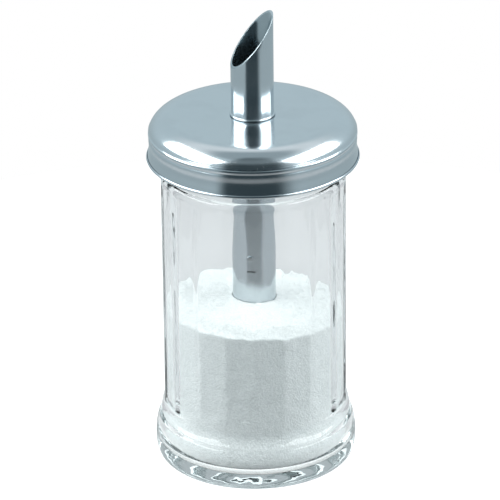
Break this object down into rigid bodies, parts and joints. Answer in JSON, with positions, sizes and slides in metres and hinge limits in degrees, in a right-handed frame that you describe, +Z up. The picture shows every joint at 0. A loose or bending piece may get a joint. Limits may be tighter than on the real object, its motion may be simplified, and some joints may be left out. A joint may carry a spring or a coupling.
{
  "type": "sugar dispenser",
  "caption": "Faceted glass sugar jar with a screwed steel lid, a slanted pour tube through the lid and a small gravity flap inside the tube.",
  "frame": {"origin": "centre of the round foot on the table", "axes": "+Z up along the jar's and tube's common axis; +X towards the high side of the slanted mouth, its low lip towards -X; -Y towards the viewer of the picture; the flap's pin lies along Y"},
  "size_m": [0.0746, 0.0746, 0.167],
  "materials": {
    "clear_glass": "clear pressed glass with a faint green tint",
    "sugar": "fine white grains, stands in for loose sugar",
    "polished_steel": "mirror-polished stainless sheet",
    "steel": "plain drawn stainless steel",
    "white_plastic": "moulded, satin",
    "soft_seal": "pale food-grade seal"
  },
  "bodies": {
    "base": {"jar": "clear_glass", "sugar_fill": "sugar"},
    "seal": {"sealing_ring": "soft_seal"},
    "washer": {"tube_washer": "soft_seal"},
    "lid": {"lid_shell": "polished_steel", "thread_ring": "white_plastic", "tube_collar": "steel", "pour_tube": "polished_steel", "flap_pin": "steel"},
    "flap": {"flap": "steel"}
  },
  "joints": [
    {"name": "lid_lift", "type": "slide", "parent": "base", "child": "seal", "axis": [0, 0, 1], "range_m": [0, 0.09]},
    {"name": "lid_rise", "type": "slide", "parent": "seal", "child": "washer", "axis": [0, 0, 1], "range_m": [0, 0.004]},
    {"name": "lid_turn", "type": "hinge", "parent": "washer", "child": "lid", "pos_m": [0, 0, 0.122], "axis": [0, 0, 1], "range_deg": [0, 360]},
    {"name": "flap_swing", "type": "hinge", "parent": "lid", "child": "flap", "pos_m": [-0.0015, 0, 0.0779], "axis": [0, -1, 0], "range_deg": [0, 58]}
  ],
  "couplings": [
    {"joint": "lid_rise", "follows": "lid_turn", "m_per_rad": 0.0006366}
  ]
}
